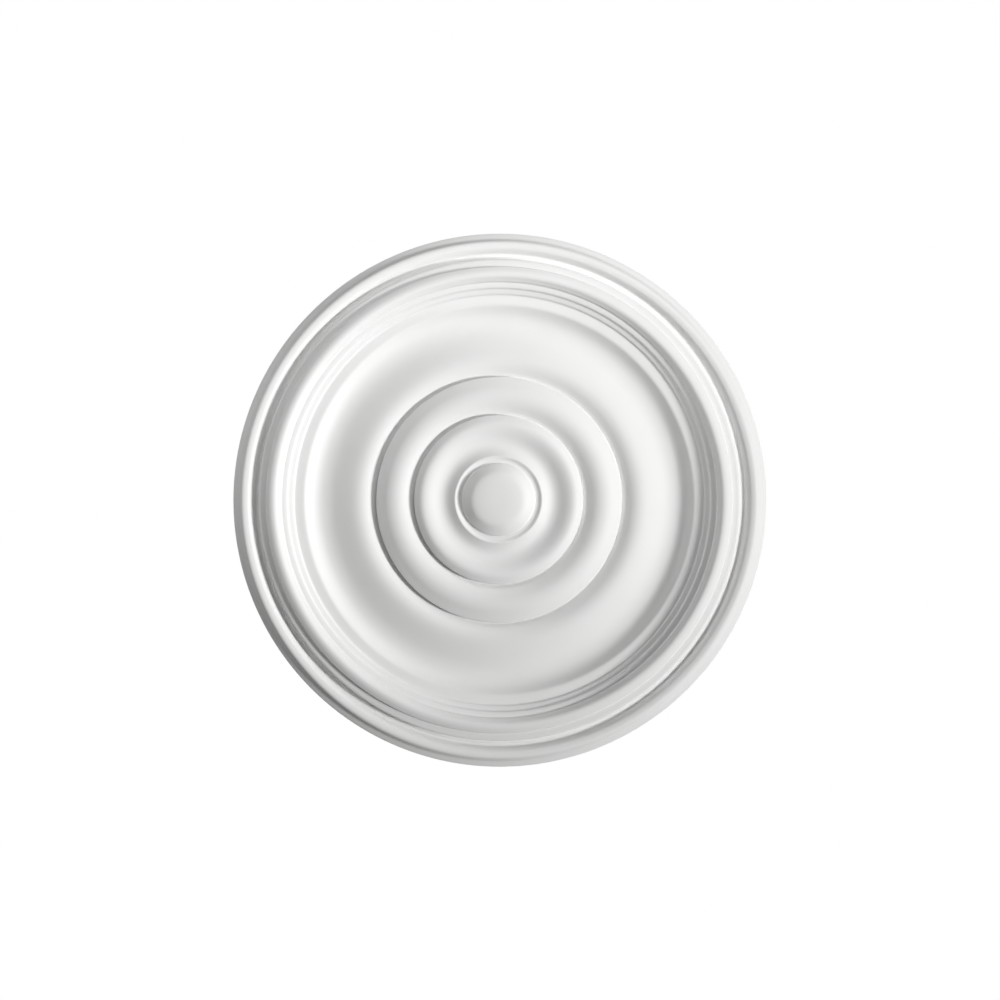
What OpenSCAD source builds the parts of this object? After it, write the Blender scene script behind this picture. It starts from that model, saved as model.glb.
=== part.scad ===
// Ceiling rose: one round moulded plaque, turned about the Z axis.
// The ceiling is the plane z = 0 and the rose hangs below it.
// Radii (_r) run out from the axis. Heights (_h) run down from the ceiling.

/* [Centre field] */
// how far the middle of the field stands off the ceiling
field_h = 36.2; // [36:0.1:36.6]
// radius where the nearly level middle ends
field_dome_r = 18.4; // [18:0.1:19]
// radius where the rounded shoulder becomes a straight slope
field_shoulder_r = 26; // [25.6:0.1:26.6]
// outer radius of the field
field_edge_r = 32; // [31.7:0.1:32.3]
// height of the field at its outer radius
field_edge_h = 27.2; // [26.8:0.1:27.6]

/* [Centre bead] */
// height of the groove round the field
bead_groove_h = 24.8; // [24.4:0.1:25.2]
// radius of the crest of the bead
bead_crest_r = 38.9; // [38.5:0.1:39.3]
// height of the crest of the bead
bead_crest_h = 26.5; // [26.2:0.1:26.8]

/* [First ring] */
// radius of the bottom of the cove inside the ring
cove_r = 49.8; // [48:0.2:51]
// height of the bottom of the cove
cove_h = 21.6; // [21:0.1:22.2]
// radius of the crest of the ring
ring1_crest_r = 66.8; // [65:0.2:68]
// height of the crest of the ring
ring1_crest_h = 26.9; // [26.4:0.1:27.4]
// radius of the sharp outer edge
ring1_edge_r = 75.5; // [75.0:0.1:76.0]
// height of the sharp outer edge
ring1_edge_h = 22.3; // [22:0.1:22.8]

/* [Second ring] */
// height of the foot below the first ring
ring2_foot_h = 16.1; // [15.8:0.1:16.4]
// radius of the crest of the ring
ring2_crest_r = 92.2; // [91:0.1:93]
// height of the crest of the ring
ring2_crest_h = 23.5; // [23.2:0.1:23.8]
// radius of the sharp outer edge
ring2_edge_r = 110.2; // [109:0.1:111]
// height of the sharp outer edge
ring2_edge_h = 15.2; // [14.8:0.1:15.6]

/* [Third ring and valley] */
// height of the foot below the second ring
ring3_foot_h = 9; // [8.7:0.1:9.3]
// radius of the crest of the ring
ring3_crest_r = 125.2; // [124.6:0.1:125.8]
// height of the crest of the ring
ring3_crest_h = 14.9; // [14.7:0.1:15.2]
// radius of the bottom of the valley
valley_r = 160.2; // [159.8:0.1:160.6]
// height of the bottom of the valley
valley_h = 3.8; // [3.6:0.1:4.1]
// radius where the rise out of the valley ends
rise_r = 174; // [173.7:0.1:174.3]
// height where the rise out of the valley ends
rise_h = 10.8; // [10.6:0.1:11]

/* [Stepped crown] */
// height of the lowest tread
tread1_h = 12.1; // [11.9:0.1:12.3]
// radius of the foot of the first riser
riser1_r = 183.9; // [183.5:0.1:184.3]
// height of the second tread
tread2_h = 15.6; // [15.3:0.1:16.0]
// radius of the foot of the second riser
riser2_r = 188.9; // [188.6:0.1:189.3]
// height of the third tread
tread3_h = 19.4; // [19.1:0.1:19.8]
// radius of the foot of the third riser
riser3_r = 194.8; // [194.4:0.1:195.2]
// how far each riser slopes outward
riser_run = 1.9; // [1.6:0.1:2.2]
// radius of the crest of the crown
crown_r = 201.9; // [201.6:0.1:202.2]
// height of the crest of the crown
crown_h = 26.3; // [26.0:0.1:26.6]

/* [Outer mouldings] */
// radius of the sharp outer edge of the crown
crown_edge_r = 208.7; // [208.4:0.1:209]
// height of the ledge below the crown edge
ledge_h = 20.1; // [19.8:0.1:20.4]
// height of the sharp outer edge of the crown
crown_edge_h = 23.4; // [23.1:0.1:23.7]
// height of the small bead
small_bead_h = 19; // [18.8:0.1:19.2]
// radius of the outer edge of the small bead outside the ledge
small_bead_r = 216.1; // [215.8:0.1:216.4]
// height of the fillet outside the small bead
fillet_h = 12.1; // [11.9:0.1:12.5]
// height of the floor of the outer groove
groove_h = 11; // [10.7:0.1:11.3]
// radius of the crest of the outer bead
outer_bead_r = 229.2; // [228.9:0.1:229.5]
// height of the crest of the outer bead
outer_bead_h = 17.1; // [16.9:0.1:17.4]

/* [Rim] */
// outer radius of the rose
rim_r = 240; // [239:0.5:241]
// height of the rim band where it meets the outer bead
band_h = 12.6; // [12.4:0.1:12.9]
// height of the lower edge of the rim band, which is the upright edge of the rose
rim_h = 8.8; // [8.2:0.1:9.4]
// size of the softened corner between rim band and upright edge
rim_soft = 0.3; // [0.2:0.1:0.6]

/* [Hidden] */
// longest straight piece of a curved member
step = 1.5;
// smallest number of pieces in a curved member
pieces = 3;
// widest part of a wall that is almost upright
wall_run = 0.5;

// A curved member from a to b, each given as radius, height and slope there.
// The end point is left out, since the next member begins with it.
function member(a, b) =
    let (
        run = b[0] - a[0],
        n = max(pieces, ceil(run / step))
    )
    [for (i = [0 : n - 1])
        let (
            t = i / n,
            u = 1 - t,
            from = a[1] * (1 + 2 * t) * u * u + a[2] * run * t * u * u,
            to = b[1] * (3 - 2 * t) * t * t - b[2] * run * u * t * t
        )
        [a[0] + run * t, from + to]];

// Nearly level middle, rounded shoulder and straight slope of the field.
function field_profile() =
    let (
        slope = 0.85,
        dome = [field_dome_r, field_h - 0.9, -0.16],
        shoulder = [field_shoulder_r, field_edge_h + slope * (field_edge_r - field_shoulder_r), -slope]
    )
    concat(
        member([0, field_h, 0], dome),
        member(dome, shoulder),
        [[shoulder[0], shoulder[1]]]
    );

// Small step down, groove, and the centre bead with its cove.
function bead_profile() =
    let (
        foot = field_edge_r + 1.1,
        floor = [foot + 2, bead_groove_h, 0.1],
        rise = [bead_crest_r - 1.4, bead_crest_h - 0.55, 0.72],
        fall = [bead_crest_r + 1, bead_crest_h - 0.45, -0.75]
    )
    concat(
        member([field_edge_r, field_edge_h, -2.2], [foot, bead_groove_h, -0.1]),
        member([foot, bead_groove_h, -0.05], floor),
        member(floor, rise),
        member(rise, [bead_crest_r, bead_crest_h, 0]),
        member([bead_crest_r, bead_crest_h, 0], fall),
        member(fall, [cove_r - 6.2, cove_h + 2, -0.62]),
        member([cove_r - 6.2, cove_h + 2, -0.62], [cove_r, cove_h, 0])
    );

// Ring with a slow rise, a level crest and a fall to a sharp edge.
// start is the foot, mid the steepest place on the way up.
function ring_profile(start, mid, crest_r, crest_h, edge_r, edge_h, slope) =
    let (
        shoulder_r = crest_r + 0.55 * (edge_r - crest_r),
        shoulder_h = edge_h + slope * (edge_r - shoulder_r)
    )
    concat(
        member(start, mid),
        member(mid, [crest_r, crest_h, 0]),
        member([crest_r, crest_h, 0], [shoulder_r, shoulder_h, -slope]),
        [[shoulder_r, shoulder_h]],
        [[edge_r, edge_h]]
    );

// Third ring, the long fall into the valley and the hollow rise out of it.
function valley_profile() =
    let (
        start = [ring2_edge_r + wall_run, ring3_foot_h, 0.9],
        mid = [ring2_edge_r + 7.4, ring3_foot_h + 4, 0.5],
        fall = [ring3_crest_r + 12.4, ring3_crest_h - 3.6, -0.44],
        low = [valley_r - 11, valley_h + 2.3, -0.4],
        hollow = [valley_r + 7.9, valley_h + 2.2, 0.6]
    )
    concat(
        member(start, mid),
        member(mid, [ring3_crest_r, ring3_crest_h, 0]),
        member([ring3_crest_r, ring3_crest_h, 0], fall),
        member(fall, low),
        member(low, [valley_r, valley_h, 0]),
        member([valley_r, valley_h, 0], hollow),
        member(hollow, [rise_r, rise_h, 0.9])
    );

// Rounded riser: hollow at the foot, round at the top.
function riser_profile(foot_r, foot_h, top_h) =
    let (
        mid = (foot_h + top_h) / 2,
        slope = 1.5 * (top_h - foot_h) / riser_run
    )
    concat(
        member([foot_r, foot_h, 0.2], [foot_r + riser_run / 2, mid, slope]),
        member([foot_r + riser_run / 2, mid, slope], [foot_r + riser_run, top_h, 0.3])
    );

// Three treads and risers up to the crest of the crown.
function crown_profile() =
    let (
        lip = [rise_r + 1.5, rise_h + 0.85, 0.34],
        level = [rise_r + 3.2, tread1_h - 0.2, 0.03],
        top1 = riser1_r + riser_run,
        top2 = riser2_r + riser_run,
        top3 = riser3_r + riser_run,
        flank = [crown_r - 2.4, crown_h - 0.85, 0.7]
    )
    concat(
        member([rise_r, rise_h, 0.9], lip),
        member(lip, level),
        member(level, [riser1_r, tread1_h, 0.1]),
        riser_profile(riser1_r, tread1_h, tread2_h - 1.3),
        member([top1, tread2_h - 1.3, 0.5], [riser2_r, tread2_h, 0.4]),
        riser_profile(riser2_r, tread2_h, tread3_h - 1),
        member([top2, tread3_h - 1, 0.45], [riser3_r, tread3_h, 0.05]),
        riser_profile(riser3_r, tread3_h, tread3_h + 3),
        member([top3, tread3_h + 3, 0.8], flank),
        member(flank, [crown_r, crown_h, 0])
    );

// Crown edge, ledge, small bead and fillet down to the outer groove.
function outer_profile() =
    let (
        slope = [crown_edge_r - 1.5, crown_edge_h + 0.95, -0.66],
        edge = [crown_edge_r, crown_edge_h, -0.52],
        ledge = [small_bead_r - 1.9, small_bead_h, -0.12],
        fall = [small_bead_r, small_bead_h - 1.1, -1],
        flat = [small_bead_r + 0.6, fillet_h, -0.3]
    )
    concat(
        member([crown_r, crown_h, 0], slope),
        member(slope, edge),
        [[edge[0], edge[1]]],
        member([crown_edge_r + 0.6, ledge_h, -0.2], ledge),
        member(ledge, [small_bead_r - 1, small_bead_h - 0.4, -0.36]),
        member([small_bead_r - 1, small_bead_h - 0.4, -0.36], fall),
        [[fall[0], fall[1]]],
        member(flat, [small_bead_r + 2, fillet_h - 0.3, -0.3]),
        member([small_bead_r + 2, fillet_h - 0.3, -1], [small_bead_r + 3, groove_h, 0])
    );

// Outer bead, crease and hollow rim band, then the upright edge of the rose.
function rim_profile() =
    let (
        foot = [outer_bead_r - 8.2, groove_h, 0.25],
        rise = [outer_bead_r - 6.8, groove_h + 1.6, 1.5],
        round_off = [outer_bead_r - 5, groove_h + 4, 0.85],
        brow = [outer_bead_r - 3, outer_bead_h - 0.5, 0.25],
        shoulder = [outer_bead_r + 1.8, outer_bead_h - 0.3, -0.38],
        fall = [outer_bead_r + 3.2, outer_bead_h - 1.3, -1.1],
        crease = outer_bead_r + 5.2,
        band = [outer_bead_r + 7.4, rim_h + 1.9, -0.62]
    )
    concat(
        member([small_bead_r + 3, groove_h, 0], foot),
        member(foot, rise),
        member(rise, round_off),
        member(round_off, brow),
        member(brow, [outer_bead_r, outer_bead_h, 0]),
        member([outer_bead_r, outer_bead_h, 0], shoulder),
        member(shoulder, fall),
        member(fall, [crease, band_h, -2]),
        member([crease, band_h, -1.15], band),
        [[band[0], band[1]]],
        [[rim_r - rim_soft, rim_h + rim_soft * 0.6]],
        [[rim_r, rim_h - rim_soft * 0.4]],
        [[rim_r, 0]]
    );

// Whole half section, from the axis out to the ceiling at the rim.
function section() =
    concat(
        field_profile(),
        bead_profile(),
        ring_profile(
            [cove_r, cove_h, 0],
            [cove_r + 7.8, cove_h + 2.3, 0.5],
            ring1_crest_r, ring1_crest_h, ring1_edge_r, ring1_edge_h, 0.74
        ),
        ring_profile(
            [ring1_edge_r + wall_run, ring2_foot_h, 0.95],
            [ring1_edge_r + 8, ring2_foot_h + 4.8, 0.56],
            ring2_crest_r, ring2_crest_h, ring2_edge_r, ring2_edge_h, 0.64
        ),
        valley_profile(),
        crown_profile(),
        outer_profile(),
        rim_profile()
    );

module ceiling_rose() {
    face = section();
    color([0.9, 0.9, 0.89])
        rotate_extrude($fn = 256)
            polygon(concat([for (p = face) [p[0], -p[1]]], [[0, 0]]));
}

ceiling_rose();
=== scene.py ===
"""Ceiling rose: a round white moulding with a flat back, seen from below."""

import math

import bpy
from bpy.props import FloatProperty, FloatVectorProperty, IntProperty, PointerProperty
from mathutils import Matrix, Vector


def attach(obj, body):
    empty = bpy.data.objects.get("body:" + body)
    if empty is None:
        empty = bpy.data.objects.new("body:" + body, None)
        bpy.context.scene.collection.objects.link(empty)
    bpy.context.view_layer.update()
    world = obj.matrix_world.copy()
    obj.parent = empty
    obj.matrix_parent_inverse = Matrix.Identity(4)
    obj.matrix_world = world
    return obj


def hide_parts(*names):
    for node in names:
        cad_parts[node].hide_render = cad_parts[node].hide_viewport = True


bl_info = {
    "name": "Ceiling Rose",
    "version": (1, 0, 0),
    "blender": (4, 5, 0),
    "location": "View3D > Sidebar > Ceiling Rose",
    "description": "Turns a moulded ceiling rose from its half section and lights it from below",
    "category": "Add Mesh",
}

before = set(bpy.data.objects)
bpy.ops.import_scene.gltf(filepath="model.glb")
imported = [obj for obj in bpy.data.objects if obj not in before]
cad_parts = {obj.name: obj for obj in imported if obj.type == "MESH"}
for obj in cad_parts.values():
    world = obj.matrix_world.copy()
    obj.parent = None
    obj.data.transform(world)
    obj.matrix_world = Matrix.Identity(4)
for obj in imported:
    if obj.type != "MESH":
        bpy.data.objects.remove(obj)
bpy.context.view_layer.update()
MM = 0.001
FADE_DEPTH = 4.0 * MM  # the waviness fades out over this depth below the ceiling


def size(name, description, mm):
    """A length property whose default is given in millimetres."""
    return FloatProperty(
        name=name,
        description=description,
        default=mm * MM,
        min=0.0,
        precision=5,
        unit="LENGTH",
        subtype="DISTANCE",
    )


# ---------------------------------------------------------------- settings


class RoseSizes(bpy.types.PropertyGroup):
    """Radii run out from the axis. Heights run down from the ceiling."""

    field_h: size("Field height", "Middle of the plain centre field", 36.2)
    field_dome_r: size("Field dome radius", "Where the nearly level middle ends", 18.4)
    field_shoulder_r: size("Field shoulder radius", "Where the straight slope begins", 26.0)
    field_edge_r: size("Field radius", "Outer radius of the plain centre field", 32.0)
    field_edge_h: size("Field edge height", "Height of the field at its outer radius", 27.2)
    bead_groove_h: size("Bead groove height", "Groove round the centre field", 24.8)
    bead_crest_r: size("Bead radius", "Crest of the centre bead", 38.9)
    bead_crest_h: size("Bead height", "Crest of the centre bead", 26.5)
    cove_r: size("Cove radius", "Bottom of the cove inside the first ring", 49.8)
    cove_h: size("Cove height", "Bottom of the cove inside the first ring", 21.6)
    ring1_crest_r: size("First ring radius", "Crest of the first ring", 66.8)
    ring1_crest_h: size("First ring height", "Crest of the first ring", 26.9)
    ring1_edge_r: size("First ring edge radius", "Sharp outer edge of the first ring", 75.5)
    ring1_edge_h: size("First ring edge height", "Sharp outer edge of the first ring", 22.3)
    ring2_foot_h: size("Second ring foot", "Foot of the wall below the first ring", 16.1)
    ring2_crest_r: size("Second ring radius", "Crest of the second ring", 92.2)
    ring2_crest_h: size("Second ring height", "Crest of the second ring", 23.5)
    ring2_edge_r: size("Second ring edge radius", "Sharp outer edge of the second ring", 110.2)
    ring2_edge_h: size("Second ring edge height", "Sharp outer edge of the second ring", 15.2)
    ring3_foot_h: size("Third ring foot", "Foot of the wall below the second ring", 9.0)
    ring3_crest_r: size("Third ring radius", "Crest of the third ring", 125.2)
    ring3_crest_h: size("Third ring height", "Crest of the third ring", 14.9)
    valley_r: size("Valley radius", "Bottom of the wide valley", 160.2)
    valley_h: size("Valley height", "Bottom of the wide valley", 3.8)
    rise_r: size("Rise radius", "Where the hollow rise out of the valley ends", 174.0)
    rise_h: size("Rise height", "Where the hollow rise out of the valley ends", 10.8)
    tread1_h: size("First tread", "Lowest tread of the crown", 12.1)
    riser1_r: size("First riser", "Foot of the first riser", 183.9)
    tread2_h: size("Second tread", "Second tread of the crown", 15.6)
    riser2_r: size("Second riser", "Foot of the second riser", 188.9)
    tread3_h: size("Third tread", "Third tread of the crown", 19.4)
    riser3_r: size("Third riser", "Foot of the third riser", 194.8)
    riser_run: size("Riser run", "How far each riser slopes outward", 1.9)
    crown_r: size("Crown radius", "Crest of the crown", 201.9)
    crown_h: size("Crown height", "Crest of the crown", 26.3)
    crown_edge_r: size("Crown edge radius", "Sharp outer edge of the crown", 208.7)
    ledge_h: size("Ledge height", "Ledge below the crown edge", 20.1)
    crown_edge_h: size("Crown edge height", "Sharp outer edge of the crown", 23.4)
    small_bead_h: size("Small bead height", "Small bead outside the ledge", 19.0)
    small_bead_r: size("Small bead radius", "Outer edge of the small bead", 216.1)
    fillet_h: size("Fillet height", "Fillet outside the small bead", 12.1)
    groove_h: size("Outer groove height", "Floor of the outer groove", 11.0)
    outer_bead_r: size("Outer bead radius", "Crest of the outer bead", 229.2)
    outer_bead_h: size("Outer bead height", "Crest of the outer bead", 17.1)
    rim_r: size("Rim radius", "Outer radius of the rose", 240.0)
    band_h: size("Rim band height", "Inner edge of the sloping rim band", 12.6)
    rim_h: size("Rim height", "Upright edge of the rose", 8.8)
    rim_soft: size("Rim softening", "Softened corner of the rim", 0.3)
    wall_run: size("Wall run", "Width of the almost upright walls", 0.5)
    arris: size("Arris softening", "Length taken off each side of a sharp corner", 0.22)
    waviness: size("Waviness", "Unevenness of the moulded face", 0.07)
    wave_length: size("Wave length", "Length of the unevenness along the face", 60.0)
    segments: IntProperty(
        name="Segments", description="Steps round the rose", default=256, min=32, max=256
    )


class RoseFinish(bpy.types.PropertyGroup):
    """Colour and surface of the primed moulding."""

    primer: FloatVectorProperty(
        name="Primer",
        description="Colour of the white primer",
        default=(0.815, 0.815, 0.81),
        size=3,
        min=0.0,
        max=1.0,
        subtype="COLOR",
    )
    primer_thin: FloatVectorProperty(
        name="Thin primer",
        description="Colour where the primer lies thinner",
        default=(0.80, 0.80, 0.79),
        size=3,
        min=0.0,
        max=1.0,
        subtype="COLOR",
    )
    back: FloatVectorProperty(
        name="Back",
        description="Colour of the bare moulded back",
        default=(0.74, 0.735, 0.715),
        size=3,
        min=0.0,
        max=1.0,
        subtype="COLOR",
    )
    roughness: FloatProperty(
        name="Roughness",
        description="Roughness of the matte primer",
        default=0.62,
        min=0.0,
        max=1.0,
        subtype="FACTOR",
    )


class StageSettings(bpy.types.PropertyGroup):
    """Floor, lamps and camera."""

    floor_radius: FloatProperty(
        name="Floor radius", description="Radius of the floor", default=1.9, min=0.5, unit="LENGTH"
    )
    floor_drop: FloatProperty(
        name="Floor drop",
        description="How far the floor lies below the ceiling",
        default=2.75,
        min=0.5,
        unit="LENGTH",
    )
    distance: FloatProperty(
        name="Camera distance",
        description="From the camera to the rim of the rose",
        default=2.5225,
        min=0.5,
        unit="LENGTH",
    )
    tilt: FloatProperty(
        name="Camera tilt",
        description="Angle between the view and the axis of the rose",
        default=math.radians(2.0),
        unit="ROTATION",
    )
    tilt_towards: FloatProperty(
        name="Tilt direction",
        description="Side to which the camera stands off the axis, from +X towards +Y",
        default=math.radians(30.0),
        unit="ROTATION",
    )
    aim_right: FloatProperty(
        name="Aim to the right",
        description="How far the camera and its target stand along +X from the axis",
        default=0.0009,
        precision=5,
        unit="LENGTH",
    )
    rim_share: FloatProperty(
        name="Rim share",
        description="Diameter of the rose as a share of the picture's width",
        default=0.5331,
        min=0.1,
        max=1.0,
        subtype="FACTOR",
    )
    key_strength: FloatProperty(
        name="Key strength", description="Strength of the main lamp", default=3.08, min=0.0
    )
    key_height: FloatProperty(
        name="Key height",
        description="Angle of the main lamp off the ceiling",
        default=math.radians(33.0),
        unit="ROTATION",
    )
    fill_strength: FloatProperty(
        name="Fill strength", description="Strength of the low fill lamp", default=0.28, min=0.0
    )
    near_power: FloatProperty(
        name="Near lamp power",
        description="Power of the soft lamp near the rose",
        default=0.42,
        min=0.0,
        unit="POWER",
    )
    top_power: FloatProperty(
        name="Top lamp power",
        description="Power of the soft lamp outside the top edge",
        default=0.66,
        min=0.0,
        unit="POWER",
    )
    side_power: FloatProperty(
        name="Side lamp power",
        description="Power of the soft lamp beside the rose",
        default=0.74,
        min=0.0,
        unit="POWER",
    )
    back_power: FloatProperty(
        name="Back lamp power",
        description="Power of the soft lamp above the back",
        default=14.0,
        min=0.0,
        unit="POWER",
    )
    around: FloatProperty(
        name="Light from around",
        description="Strength of the even light from all sides",
        default=0.005,
        min=0.0,
        max=1.0,
        subtype="FACTOR",
    )


# ------------------------------------------------------------ half section


def member(a, b, step=1.05 * MM, pieces=4):
    """Curved member from a to b, each a radius, a height and the slope there, without b itself."""
    run = b[0] - a[0]
    n = max(pieces, math.ceil(run / step))
    points = []
    for i in range(n):
        t = i / n
        u = 1 - t
        leaving = a[1] * (1 + 2 * t) * u * u + a[2] * run * t * u * u
        arriving = b[1] * (3 - 2 * t) * t * t - b[2] * run * u * t * t
        points.append((a[0] + run * t, leaving + arriving))
    return points


def field_profile(s):
    """Nearly level middle, rounded shoulder and straight slope of the centre field."""
    slope = 0.85
    dome = (s.field_dome_r, s.field_h - 0.9 * MM, -0.16)
    shoulder = (
        s.field_shoulder_r,
        s.field_edge_h + slope * (s.field_edge_r - s.field_shoulder_r),
        -slope,
    )
    return (
        member((0.0, s.field_h, 0.0), dome)
        + member(dome, shoulder)
        + member(shoulder, (s.field_edge_r, s.field_edge_h, -slope), 2 * MM, 2)
    )


def bead_profile(s):
    """Small step down, groove, and the centre bead with its cove."""
    foot = s.field_edge_r + 1.1 * MM
    floor = (foot + 2.0 * MM, s.bead_groove_h, 0.1)
    rise = (s.bead_crest_r - 1.4 * MM, s.bead_crest_h - 0.55 * MM, 0.72)
    crest = (s.bead_crest_r, s.bead_crest_h, 0.0)
    fall = (s.bead_crest_r + 1.0 * MM, s.bead_crest_h - 0.45 * MM, -0.75)
    low = (s.cove_r - 6.2 * MM, s.cove_h + 2.0 * MM, -0.62)
    return (
        member((s.field_edge_r, s.field_edge_h, -2.2), (foot, s.bead_groove_h, -0.1))
        + member((foot, s.bead_groove_h, -0.05), floor)
        + member(floor, rise)
        + member(rise, crest)
        + member(crest, fall)
        + member(fall, low)
        + member(low, (s.cove_r, s.cove_h, 0.0))
    )


def ring_profile(start, mid, crest_r, crest_h, edge_r, edge_h, slope):
    """Ring with a slow rise from start through mid, a level crest and a fall to a sharp edge."""
    crest = (crest_r, crest_h, 0.0)
    shoulder_r = crest_r + 0.55 * (edge_r - crest_r)
    shoulder = (shoulder_r, edge_h + slope * (edge_r - shoulder_r), -slope)
    return (
        member(start, mid)
        + member(mid, crest)
        + member(crest, shoulder)
        + member(shoulder, (edge_r, edge_h, -slope), 2 * MM, 2)
        + [(edge_r, edge_h)]
    )


def valley_profile(s):
    """Third ring, the long fall into the valley and the hollow rise out of it."""
    start = (s.ring2_edge_r + s.wall_run, s.ring3_foot_h, 0.9)
    mid = (s.ring2_edge_r + 7.4 * MM, s.ring3_foot_h + 4.0 * MM, 0.5)
    crest = (s.ring3_crest_r, s.ring3_crest_h, 0.0)
    fall = (s.ring3_crest_r + 12.4 * MM, s.ring3_crest_h - 3.6 * MM, -0.44)
    low = (s.valley_r - 11.0 * MM, s.valley_h + 2.3 * MM, -0.4)
    bottom = (s.valley_r, s.valley_h, 0.0)
    hollow = (s.valley_r + 7.9 * MM, s.valley_h + 2.2 * MM, 0.6)
    return (
        member(start, mid)
        + member(mid, crest)
        + member(crest, fall)
        + member(fall, low)
        + member(low, bottom)
        + member(bottom, hollow)
        + member(hollow, (s.rise_r, s.rise_h, 0.9))
    )


def riser_profile(s, foot_r, foot_h, top_h):
    """Rounded riser: hollow at the foot, round at the top."""
    half_r = foot_r + s.riser_run / 2
    half = (half_r, (foot_h + top_h) / 2, 1.5 * (top_h - foot_h) / s.riser_run)
    return member((foot_r, foot_h, 0.2), half) + member(half, (foot_r + s.riser_run, top_h, 0.3))


def crown_profile(s):
    """Three treads and risers up to the crest of the crown."""
    lip = (s.rise_r + 1.5 * MM, s.rise_h + 0.85 * MM, 0.34)
    level = (s.rise_r + 3.2 * MM, s.tread1_h - 0.2 * MM, 0.03)
    top1 = s.riser1_r + s.riser_run
    top2 = s.riser2_r + s.riser_run
    top3 = s.riser3_r + s.riser_run
    start2 = s.tread2_h - 1.3 * MM
    start3 = s.tread3_h - 1.0 * MM
    last = s.tread3_h + 3.0 * MM
    flank = (s.crown_r - 2.4 * MM, s.crown_h - 0.85 * MM, 0.7)
    return (
        member((s.rise_r, s.rise_h, 0.9), lip)
        + member(lip, level)
        + member(level, (s.riser1_r, s.tread1_h, 0.1))
        + riser_profile(s, s.riser1_r, s.tread1_h, start2)
        + member((top1, start2, 0.5), (s.riser2_r, s.tread2_h, 0.4))
        + riser_profile(s, s.riser2_r, s.tread2_h, start3)
        + member((top2, start3, 0.45), (s.riser3_r, s.tread3_h, 0.05))
        + riser_profile(s, s.riser3_r, s.tread3_h, last)
        + member((top3, last, 0.8), flank)
        + member(flank, (s.crown_r, s.crown_h, 0.0))
    )


def outer_profile(s):
    """Crown edge, ledge, small bead and fillet down to the outer groove."""
    slope = (s.crown_edge_r - 1.5 * MM, s.crown_edge_h + 0.95 * MM, -0.66)
    edge = (s.crown_edge_r, s.crown_edge_h, -0.52)
    ledge = (s.small_bead_r - 1.9 * MM, s.small_bead_h, -0.12)
    shoulder = (s.small_bead_r - 1.0 * MM, s.small_bead_h - 0.4 * MM, -0.36)
    fall = (s.small_bead_r, s.small_bead_h - 1.1 * MM, -1.0)
    flat = (s.small_bead_r + 0.6 * MM, s.fillet_h, -0.3)
    fillet_r = s.small_bead_r + 2.0 * MM
    fillet_h = s.fillet_h - 0.3 * MM
    floor = (s.small_bead_r + 3.0 * MM, s.groove_h, 0.0)
    return (
        member((s.crown_r, s.crown_h, 0.0), slope)
        + member(slope, edge)
        + [(edge[0], edge[1])]
        + member((s.crown_edge_r + 0.6 * MM, s.ledge_h, -0.2), ledge)
        + member(ledge, shoulder)
        + member(shoulder, fall)
        + [(fall[0], fall[1])]
        + member(flat, (fillet_r, fillet_h, -0.3))
        + member((fillet_r, fillet_h, -1.0), floor)
    )


def rim_profile(s):
    """Outer bead, crease, hollow rim band and the upright edge."""
    start = (s.small_bead_r + 3.0 * MM, s.groove_h, 0.0)
    foot = (s.outer_bead_r - 8.2 * MM, s.groove_h, 0.25)
    rise = (s.outer_bead_r - 6.8 * MM, s.groove_h + 1.6 * MM, 1.5)
    round_off = (s.outer_bead_r - 5.0 * MM, s.groove_h + 4.0 * MM, 0.85)
    brow = (s.outer_bead_r - 3.0 * MM, s.outer_bead_h - 0.5 * MM, 0.25)
    crest = (s.outer_bead_r, s.outer_bead_h, 0.0)
    shoulder = (s.outer_bead_r + 1.8 * MM, s.outer_bead_h - 0.3 * MM, -0.38)
    fall = (s.outer_bead_r + 3.2 * MM, s.outer_bead_h - 1.3 * MM, -1.1)
    crease_r = s.outer_bead_r + 5.2 * MM
    band = (s.outer_bead_r + 7.4 * MM, s.rim_h + 1.9 * MM, -0.62)
    return (
        member(start, foot)
        + member(foot, rise)
        + member(rise, round_off)
        + member(round_off, brow)
        + member(brow, crest)
        + member(crest, shoulder)
        + member(shoulder, fall)
        + member(fall, (crease_r, s.band_h, -2.0))
        + member((crease_r, s.band_h, -1.15), band)
        + [(band[0], band[1])]
        + [(s.rim_r - s.rim_soft, s.rim_h + s.rim_soft * 0.6)]
        + [(s.rim_r, s.rim_h - s.rim_soft * 0.4)]
        + [(s.rim_r, 0.0)]
        + [(s.rim_r * share, 0.0) for share in (0.97, 0.75, 0.5, 0.25, 0.02, 0.0)]
    )


def section(s):
    """Whole half section, from the axis out over the face and back along the ceiling."""
    ring1 = ring_profile(
        (s.cove_r, s.cove_h, 0.0),
        (s.cove_r + 7.8 * MM, s.cove_h + 2.3 * MM, 0.5),
        s.ring1_crest_r,
        s.ring1_crest_h,
        s.ring1_edge_r,
        s.ring1_edge_h,
        slope=0.74,
    )
    ring2 = ring_profile(
        (s.ring1_edge_r + s.wall_run, s.ring2_foot_h, 0.95),
        (s.ring1_edge_r + 8.0 * MM, s.ring2_foot_h + 4.8 * MM, 0.56),
        s.ring2_crest_r,
        s.ring2_crest_h,
        s.ring2_edge_r,
        s.ring2_edge_h,
        slope=0.64,
    )
    points = field_profile(s) + bead_profile(s) + ring1 + ring2
    points += valley_profile(s) + crown_profile(s) + outer_profile(s) + rim_profile(s)
    return points


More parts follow.
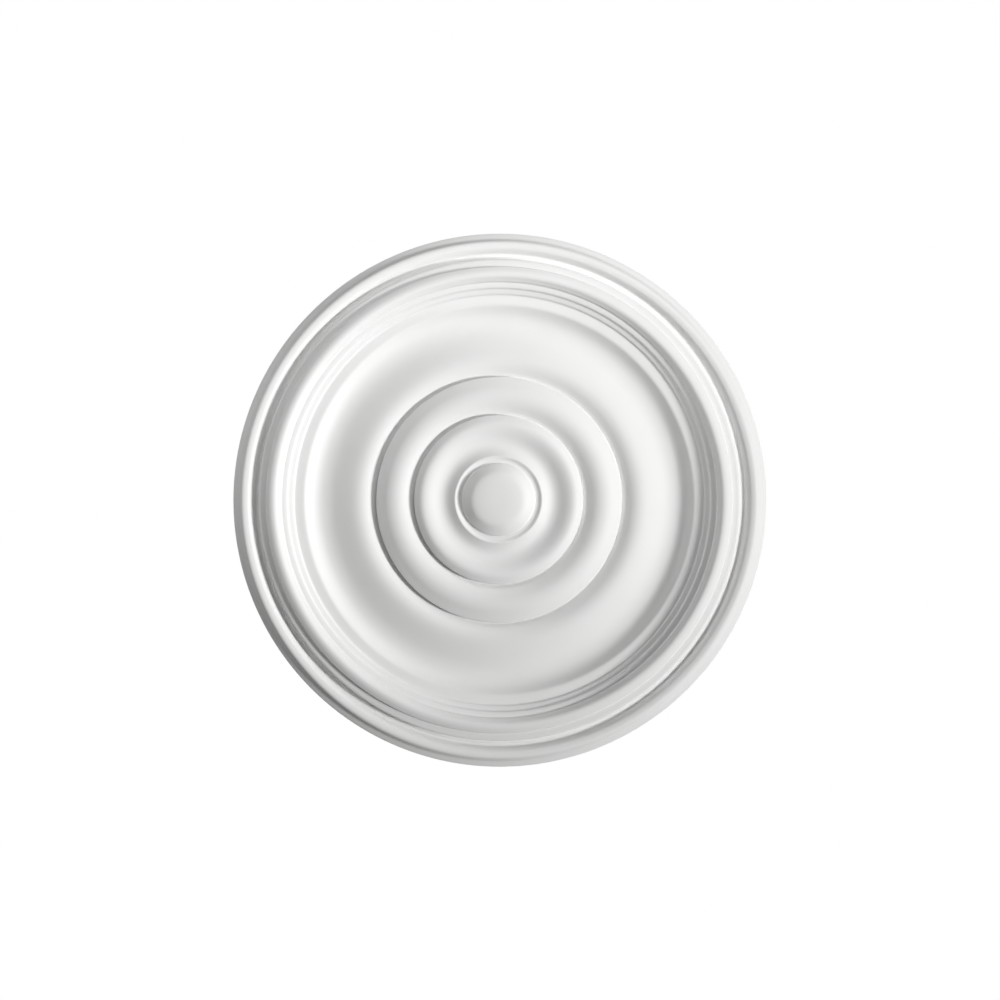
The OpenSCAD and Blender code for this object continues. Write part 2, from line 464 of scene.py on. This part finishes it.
def soften(points, arris, least=math.radians(24.0)):
    """Takes the corner off wherever the half section turns sharply."""
    done = [points[0]]
    for before, here, after in zip(points, points[1:], points[2:]):
        a = Vector(here) - Vector(before)
        b = Vector(after) - Vector(here)
        if a.angle(b) < least:
            done.append(here)
            continue
        cut = min(arris, 0.4 * a.length, 0.4 * b.length)
        first = Vector(here) - a.normalized() * cut
        last = Vector(here) + b.normalized() * cut
        middle = (first + last) / 4 + Vector(here) / 2
        done += [tuple(first), tuple(middle), tuple(last)]
    done.append(points[-1])
    return done


# ---------------------------------------------------------- node utilities


def link(tree, source, target):
    """Joins an output socket to an input socket."""
    tree.links.new(source, target)


def maths(tree, operation, a, b=None):
    """Math node whose inputs are sockets or numbers. Returns its output."""
    node = tree.nodes.new("ShaderNodeMath")
    node.operation = operation
    for socket, value in zip(node.inputs, (a, b)):
        if value is None:
            continue
        if isinstance(value, (int, float)):
            socket.default_value = value
        else:
            link(tree, value, socket)
    return node.outputs[0]


def turning_tree():
    """Geometry nodes that turn a half section, given as a line of points, about the Z axis."""
    tree = bpy.data.node_groups.new("Turned moulding", "GeometryNodeTree")
    tree.is_modifier = True
    face = tree.interface
    face.new_socket("Half Section", in_out="INPUT", socket_type="NodeSocketGeometry")
    face.new_socket("Segments", in_out="INPUT", socket_type="NodeSocketInt")
    face.new_socket("Waviness", in_out="INPUT", socket_type="NodeSocketFloat")
    face.new_socket("Wave Length", in_out="INPUT", socket_type="NodeSocketFloat")
    face.new_socket("Finish", in_out="INPUT", socket_type="NodeSocketMaterial")
    face.new_socket("Moulding", in_out="OUTPUT", socket_type="NodeSocketGeometry")
    into = tree.nodes.new("NodeGroupInput")
    out = tree.nodes.new("NodeGroupOutput")

    # A grid with one row for each point of the half section and one column for each step round.
    count = tree.nodes.new("GeometryNodeAttributeDomainSize")
    link(tree, into.outputs["Half Section"], count.inputs["Geometry"])
    columns = maths(tree, "ADD", into.outputs["Segments"], 1)
    grid = tree.nodes.new("GeometryNodeMeshGrid")
    link(tree, count.outputs["Point Count"], grid.inputs["Vertices X"])
    link(tree, columns, grid.inputs["Vertices Y"])
    index = tree.nodes.new("GeometryNodeInputIndex")
    row = maths(tree, "FLOOR", maths(tree, "DIVIDE", index.outputs[0], columns))
    column = maths(tree, "SUBTRACT", index.outputs[0], maths(tree, "MULTIPLY", row, columns))

    # The point of the half section that this row takes its radius and height from.
    place = tree.nodes.new("GeometryNodeInputPosition")
    sample = tree.nodes.new("GeometryNodeSampleIndex")
    sample.data_type = "FLOAT_VECTOR"
    sample.domain = "POINT"
    link(tree, into.outputs["Half Section"], sample.inputs["Geometry"])
    link(tree, place.outputs[0], sample.inputs["Value"])
    link(tree, row, sample.inputs["Index"])
    split = tree.nodes.new("ShaderNodeSeparateXYZ")
    link(tree, sample.outputs["Value"], split.inputs[0])
    turn = maths(tree, "DIVIDE", column, into.outputs["Segments"])
    angle = maths(tree, "MULTIPLY", turn, math.tau)
    x = maths(tree, "MULTIPLY", split.outputs["X"], maths(tree, "COSINE", angle))
    y = maths(tree, "MULTIPLY", split.outputs["X"], maths(tree, "SINE", angle))
    joined = tree.nodes.new("ShaderNodeCombineXYZ")
    link(tree, x, joined.inputs["X"])
    link(tree, y, joined.inputs["Y"])
    link(tree, split.outputs["Z"], joined.inputs["Z"])
    turned = tree.nodes.new("GeometryNodeSetPosition")
    link(tree, grid.outputs["Mesh"], turned.inputs["Geometry"])
    link(tree, joined.outputs[0], turned.inputs["Position"])
    closed = tree.nodes.new("GeometryNodeMergeByDistance")
    closed.inputs["Distance"].default_value = 0.002 * MM
    link(tree, turned.outputs["Geometry"], closed.inputs["Geometry"])

    # Slow unevenness of a cast face. It fades to nothing at the ceiling, so the back stays flat.
    noise = tree.nodes.new("ShaderNodeTexNoise")
    noise.inputs["Detail"].default_value = 1.0
    scale = maths(tree, "DIVIDE", 1.0, into.outputs["Wave Length"])
    link(tree, scale, noise.inputs["Scale"])
    link(tree, place.outputs[0], noise.inputs["Vector"])
    here = tree.nodes.new("ShaderNodeSeparateXYZ")
    link(tree, place.outputs[0], here.inputs[0])
    depth = maths(tree, "MULTIPLY", here.outputs["Z"], -1.0 / FADE_DEPTH)
    depth = maths(tree, "MINIMUM", maths(tree, "MAXIMUM", depth, 0.0), 1.0)
    swell = maths(tree, "SUBTRACT", noise.outputs[0], 0.5)
    swell = maths(tree, "MULTIPLY", swell, into.outputs["Waviness"])
    swell = maths(tree, "MULTIPLY", swell, depth)
    offset = tree.nodes.new("ShaderNodeCombineXYZ")
    link(tree, swell, offset.inputs["Z"])
    waved = tree.nodes.new("GeometryNodeSetPosition")
    link(tree, closed.outputs["Geometry"], waved.inputs["Geometry"])
    link(tree, offset.outputs[0], waved.inputs["Offset"])

    smooth = tree.nodes.new("GeometryNodeSetShadeSmooth")
    link(tree, waved.outputs["Geometry"], smooth.inputs["Geometry"])
    real = tree.nodes.new("GeometryNodeRealizeInstances")
    link(tree, smooth.outputs["Geometry"], real.inputs["Geometry"])
    finish = tree.nodes.new("GeometryNodeSetMaterial")
    link(tree, real.outputs["Geometry"], finish.inputs["Geometry"])
    link(tree, into.outputs["Finish"], finish.inputs["Material"])
    link(tree, finish.outputs["Geometry"], out.inputs["Moulding"])
    return tree


def set_input(modifier, name, value):
    """Sets a named input of a geometry nodes modifier by its socket identifier."""
    for item in modifier.node_group.interface.items_tree:
        if item.item_type == "SOCKET" and item.in_out == "INPUT" and item.name == name:
            modifier[item.identifier] = value
            return
    raise KeyError(name)


def texture(tree, kind, vector, **values):
    """Texture node on a vector, with its sockets set by name."""
    node = tree.nodes.new(kind)
    link(tree, vector, node.inputs["Vector"])
    for name, value in values.items():
        node.inputs[name.replace("_", " ")].default_value = value
    return node


def spread(tree, source, low, high, to_low, to_high):
    """Map Range node on a socket. Returns its output."""
    node = tree.nodes.new("ShaderNodeMapRange")
    link(tree, source, node.inputs["Value"])
    for name, value in zip(
        ("From Min", "From Max", "To Min", "To Max"), (low, high, to_low, to_high)
    ):
        node.inputs[name].default_value = value
    return node.outputs["Result"]


def blend_colours(tree, factor, a, b):
    """Colour mix of two colours or sockets by a factor socket. Returns its output."""
    node = tree.nodes.new("ShaderNodeMix")
    node.data_type = "RGBA"
    link(tree, factor, node.inputs[0])
    for socket, value in ((node.inputs[6], a), (node.inputs[7], b)):
        if isinstance(value, bpy.types.NodeSocket):
            link(tree, value, socket)
        else:
            socket.default_value = (*value, 1.0)
    return node.outputs[2]


def primed_moulding(settings):
    """Matte white primer on the moulded face, and a barer, rougher back."""
    material = bpy.data.materials.new("Primed moulding")
    material.use_nodes = True
    tree = material.node_tree
    shader = tree.nodes["Principled BSDF"]
    place = tree.nodes.new("ShaderNodeTexCoord").outputs["Object"]
    split = tree.nodes.new("ShaderNodeSeparateXYZ")
    link(tree, place, split.inputs[0])
    back = spread(tree, split.outputs["Z"], -0.6 * MM, -0.1 * MM, 0.0, 1.0)

    cloud = texture(tree, "ShaderNodeTexNoise", place, Scale=16.0, Detail=4.0, Roughness=0.55)
    thin = spread(tree, cloud.outputs[0], 0.35, 0.7, 0.0, 1.0)
    colour = blend_colours(tree, thin, settings.primer, settings.primer_thin)
    flow = texture(tree, "ShaderNodeTexNoise", place, Scale=30.0, Detail=6.0, Distortion=1.2)
    flow = spread(tree, flow.outputs[0], 0.35, 0.65, 0.0, 1.0)
    bare = blend_colours(tree, flow, settings.back, [0.9 * c for c in settings.back])
    link(tree, blend_colours(tree, back, colour, bare), shader.inputs["Base Color"])

    pebble = texture(tree, "ShaderNodeTexNoise", place, Scale=900.0, Detail=2.0, Roughness=0.5)
    rough = spread(
        tree, pebble.outputs[0], 0.3, 0.7, settings.roughness - 0.05, settings.roughness + 0.06
    )
    rough = maths(tree, "ADD", rough, maths(tree, "MULTIPLY", back, 0.2))
    link(tree, rough, shader.inputs["Roughness"])
    shader.inputs["IOR"].default_value = 1.45
    shader.inputs["Specular IOR Level"].default_value = 0.35

    pits = texture(tree, "ShaderNodeTexVoronoi", place, Scale=260.0)
    pits = spread(tree, pits.outputs["Distance"], 0.0, 0.35, -1.0, 0.0)
    pits = maths(tree, "MULTIPLY", pits, maths(tree, "MULTIPLY", back, 5.0))
    height = maths(tree, "ADD", pebble.outputs[0], pits)
    bump = tree.nodes.new("ShaderNodeBump")
    bump.inputs["Strength"].default_value = 0.25
    bump.inputs["Distance"].default_value = 0.06 * MM
    link(tree, height, bump.inputs["Height"])
    link(tree, bump.outputs[0], shader.inputs["Normal"])
    return material


# ------------------------------------------------------------- operators


class ROSE_OT_moulding(bpy.types.Operator):
    """Turns the rose from its half section and gives it its primed finish"""

    bl_idname = "ceiling_rose.moulding"
    bl_label = "Ceiling rose"
    bl_options = {"REGISTER", "UNDO"}

    def execute(self, context):
        s = context.scene.rose_sizes
        points = soften(section(s), s.arris)
        line = bpy.data.meshes.new("Half section")
        line.from_pydata(
            [(r, 0.0, -h) for r, h in points],
            [(i, i + 1) for i in range(len(points) - 1)],
            [],
        )
        blank = bpy.data.objects.new("Half section", line)
        context.scene.collection.objects.link(blank)
        finish = primed_moulding(context.scene.rose_finish)
        modifier = blank.modifiers.new("Turned moulding", "NODES")
        modifier.node_group = turning_tree()
        set_input(modifier, "Segments", s.segments)
        set_input(modifier, "Waviness", s.waviness)
        set_input(modifier, "Wave Length", s.wave_length)
        set_input(modifier, "Finish", finish)
        graph = context.evaluated_depsgraph_get()
        mesh = bpy.data.meshes.new_from_object(blank.evaluated_get(graph), depsgraph=graph)
        mesh.name = "Ceiling rose"
        bpy.data.objects.remove(blank)
        if not mesh.polygons:
            raise RuntimeError("the half section was not turned into a moulding")
        if mesh.polygons[0].normal.z > 0:
            mesh.flip_normals()
        rose = bpy.data.objects.new("rose_moulding", mesh)
        context.scene.collection.objects.link(rose)
        if finish.name not in mesh.materials:
            mesh.materials.clear()
            mesh.materials.append(finish)
        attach(rose, "root")
        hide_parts("ceiling_rose")
        return {"FINISHED"}


def aim(thing, place, target, up=Vector((0.0, -1.0, 0.0))):
    """Puts a lamp or camera at a place, looking at a target with its top towards up."""
    back = (Vector(place) - Vector(target)).normalized()
    right = up.cross(back).normalized()
    turn = Matrix((right, back.cross(right), back)).transposed().to_4x4()
    thing.matrix_world = Matrix.Translation(place) @ turn


def off_ceiling(around, height):
    """Direction below the ceiling: around turns from +X towards +Y, height is the angle off it."""
    flat = math.cos(height)
    return Vector((flat * math.cos(around), flat * math.sin(around), -math.sin(height)))


def add_sun(scene, name, height, strength, around, across):
    """Far lamp below the ceiling, placed around the rose and as wide across as given in degrees."""
    lamp = bpy.data.lights.new(name, "SUN")
    lamp.energy = strength
    lamp.angle = math.radians(across)
    holder = bpy.data.objects.new(name, lamp)
    scene.collection.objects.link(holder)
    aim(holder, off_ceiling(math.radians(around), height) * 2.0, (0.0, 0.0, 0.0))


def add_soft_box(scene, name, place, target, width, power):
    """Square soft lamp that the camera doesn't see."""
    lamp = bpy.data.lights.new(name, "AREA")
    lamp.energy = power
    lamp.size = width
    holder = bpy.data.objects.new(name, lamp)
    scene.collection.objects.link(holder)
    aim(holder, place, target, Vector((1.0, 0.0, 0.0)))
    holder.visible_camera = False


def seen_white(tree, base, strength):
    """Mixes a shader with plain white for what the camera and reflections see."""
    path = tree.nodes.new("ShaderNodeLightPath")
    seen = maths(tree, "MAXIMUM", path.outputs["Is Camera Ray"], path.outputs["Is Glossy Ray"])
    seen = maths(tree, "MAXIMUM", seen, path.outputs["Is Transmission Ray"])
    seen = maths(tree, "MULTIPLY", seen, strength)
    is_world = base.node.bl_idname == "ShaderNodeBackground"
    white = tree.nodes.new("ShaderNodeBackground" if is_world else "ShaderNodeEmission")
    white.inputs["Color"].default_value = (1.0, 1.0, 1.0, 1.0)
    white.inputs["Strength"].default_value = 1.0
    mix = tree.nodes.new("ShaderNodeMixShader")
    link(tree, seen, mix.inputs[0])
    link(tree, base, mix.inputs[1])
    link(tree, white.outputs[0], mix.inputs[2])
    return mix.outputs[0]


class ROSE_OT_stage(bpy.types.Operator):
    """Adds the floor far below, the lamps, the white surroundings and the camera"""

    bl_idname = "ceiling_rose.stage"
    bl_label = "Floor, lamps and camera"
    bl_options = {"REGISTER", "UNDO"}

    def execute(self, context):
        scene = context.scene
        s = scene.rose_stage
        self.floor(scene, s)
        self.lamps(scene, s)
        self.surroundings(scene, s)
        self.camera(scene, s)
        scene.view_settings.view_transform = "Standard"
        return {"FINISHED"}

    def floor(self, scene, s):
        """Pale round floor of the room."""
        mesh = bpy.data.meshes.new("Floor")
        steps = 96
        r = s.floor_radius
        turns = [math.tau * i / steps for i in range(steps)]
        corners = [(r * math.cos(turn), r * math.sin(turn), -s.floor_drop) for turn in turns]
        mesh.from_pydata(corners, [], [tuple(range(steps))])
        floor = bpy.data.objects.new("floor", mesh)
        scene.collection.objects.link(floor)
        material = bpy.data.materials.new("Pale floor")
        material.use_nodes = True
        tree = material.node_tree
        shader = tree.nodes["Principled BSDF"]
        place = tree.nodes.new("ShaderNodeTexCoord").outputs["Object"]
        grain = texture(tree, "ShaderNodeTexNoise", place, Scale=3.0, Detail=2.0)
        tint = blend_colours(tree, grain.outputs[0], (0.70, 0.70, 0.70), (0.74, 0.74, 0.74))
        link(tree, tint, shader.inputs["Base Color"])
        shader.inputs["Roughness"].default_value = 0.9
        out = tree.nodes["Material Output"]
        link(tree, seen_white(tree, shader.outputs[0], 0.9), out.inputs["Surface"])
        mesh.materials.append(material)

    def lamps(self, scene, s):
        """Key from one side, weak fill from the other, soft lamps near the rose and its back."""
        add_sun(scene, "Key lamp", s.key_height, s.key_strength, around=12.0, across=12.0)
        fill_height = math.radians(15.0)
        add_sun(scene, "Low fill lamp", fill_height, s.fill_strength, around=145.0, across=20.0)
        for name, place, target, width, power in (
            ("Top soft lamp", (0.1, -0.5, -0.4), (0.0, -0.2, 0.0), 0.25, s.top_power),
            ("Near soft lamp", (0.1, -0.3, -0.44), (0.03, -0.2, 0.0), 0.26, s.near_power),
            ("Side soft lamp", (-0.55, -0.18, -0.25), (-0.05, -0.05, 0.0), 0.4, s.side_power),
            ("Back soft lamp", (0.3, -0.4, 1.1), (0.0, 0.0, 0.0), 0.9, s.back_power),
        ):
            add_soft_box(scene, name, place, target, width, power)

    def surroundings(self, scene, s):
        """White to the camera and to reflections, and a weak even light to the rose."""
        world = bpy.data.worlds.new("White surroundings")
        scene.world = world
        world.use_nodes = True
        tree = world.node_tree
        weak = tree.nodes["Background"]
        weak.inputs["Color"].default_value = (1.0, 1.0, 1.0, 1.0)
        weak.inputs["Strength"].default_value = s.around
        out = tree.nodes["World Output"]
        link(tree, seen_white(tree, weak.outputs[0], 1.0), out.inputs["Surface"])

    def camera(self, scene, s):
        """Long lens a little off the axis of the rose, looking up."""
        sizes = scene.rose_sizes
        lens = bpy.data.cameras.new("Camera")
        lens.sensor_width = 36.0
        lens.lens = 18.0 * s.rim_share * s.distance / sizes.rim_r
        lens.clip_end = 20.0
        camera = bpy.data.objects.new("Camera", lens)
        scene.collection.objects.link(camera)
        rim = Vector((s.aim_right, 0.2 * s.aim_right, -sizes.rim_h))
        towards = off_ceiling(s.tilt_towards, math.pi / 2 - s.tilt)
        aim(camera, rim + towards * s.distance, rim)
        scene.camera = camera


class ROSE_PT_panel(bpy.types.Panel):
    """Sizes, finish and stage of the ceiling rose"""

    bl_idname = "ROSE_PT_panel"
    bl_label = "Ceiling Rose"
    bl_space_type = "VIEW_3D"
    bl_region_type = "UI"
    bl_category = "Ceiling Rose"

    def draw(self, context):
        layout = self.layout
        scene = context.scene
        for operator, group in (
            ("ceiling_rose.moulding", scene.rose_sizes),
            (None, scene.rose_finish),
            ("ceiling_rose.stage", scene.rose_stage),
        ):
            box = layout.box()
            if operator:
                box.operator(operator)
            for name in type(group).__annotations__:
                box.prop(group, name)


CLASSES = (RoseSizes, RoseFinish, StageSettings, ROSE_OT_moulding, ROSE_OT_stage, ROSE_PT_panel)


def register():
    for cls in CLASSES:
        bpy.utils.register_class(cls)
    bpy.types.Scene.rose_sizes = PointerProperty(type=RoseSizes)
    bpy.types.Scene.rose_finish = PointerProperty(type=RoseFinish)
    bpy.types.Scene.rose_stage = PointerProperty(type=StageSettings)


def unregister():
    del bpy.types.Scene.rose_stage
    del bpy.types.Scene.rose_finish
    del bpy.types.Scene.rose_sizes
    for cls in reversed(CLASSES):
        bpy.utils.unregister_class(cls)


def main():
    register()
    bpy.ops.ceiling_rose.moulding()
    bpy.ops.ceiling_rose.stage()


if __name__ == "__main__":
    main()
